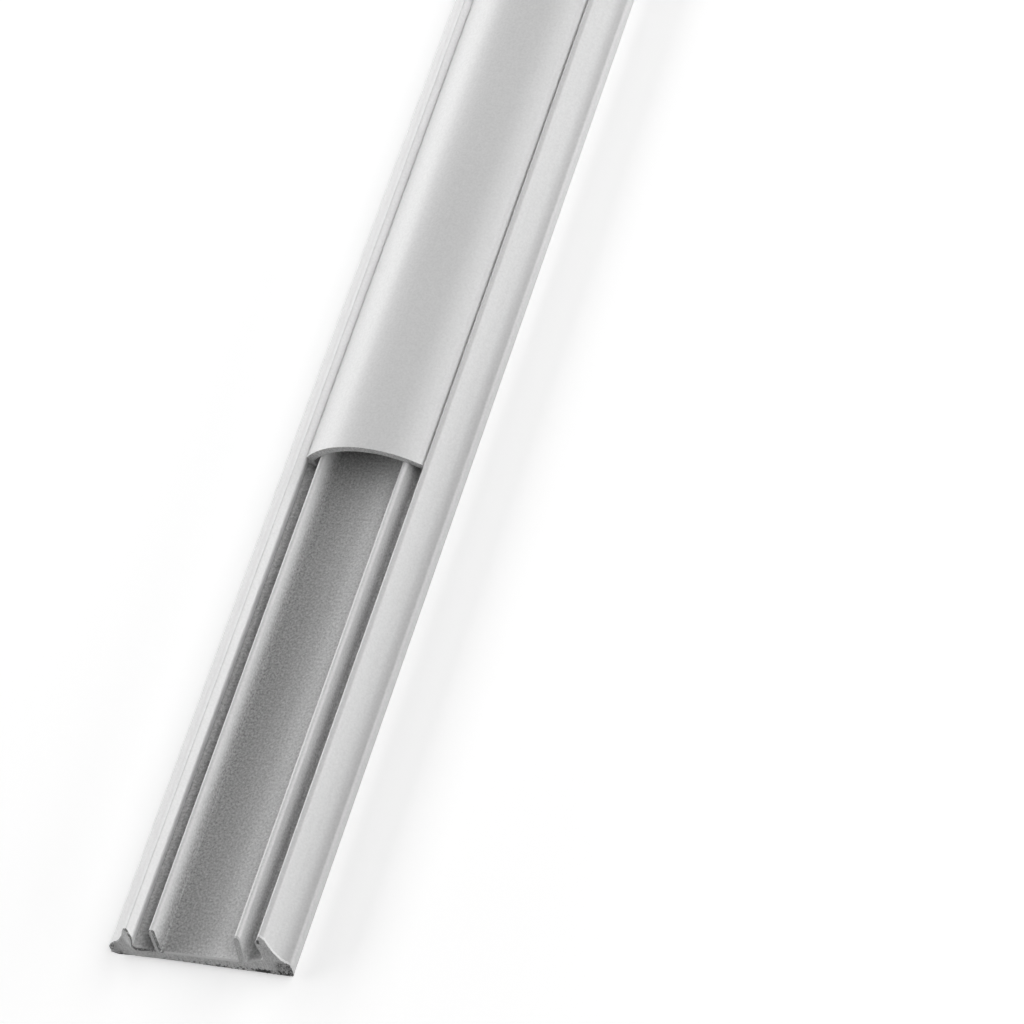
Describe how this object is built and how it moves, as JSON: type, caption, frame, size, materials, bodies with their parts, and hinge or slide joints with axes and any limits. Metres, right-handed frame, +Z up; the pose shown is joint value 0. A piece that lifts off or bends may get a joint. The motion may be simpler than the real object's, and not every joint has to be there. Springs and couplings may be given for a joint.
{
  "type": "floor raceway",
  "caption": "Low white PVC floor raceway: a ramped channel base with foam tape underneath and a domed snap-in cover standing back from one end, for leading cables across a floor.",
  "frame": {"origin": "middle of the footprint, on the floor under the release liner", "axes": "+Y along the raceway away from the end where the base is open, +X across it, +Z up"},
  "size_m": [0.05, 1, 0.0146],
  "materials": {
    "pvc": "satin white rigid PVC, as extruded",
    "foam": "white closed-cell foam, sticky on both faces",
    "liner": "thin blue release film"
  },
  "bodies": {
    "root": {"base_channel": "pvc", "cover_strip": "pvc", "adhesive_tape": "foam", "release_liner": "liner"}
  },
  "joints": []
}
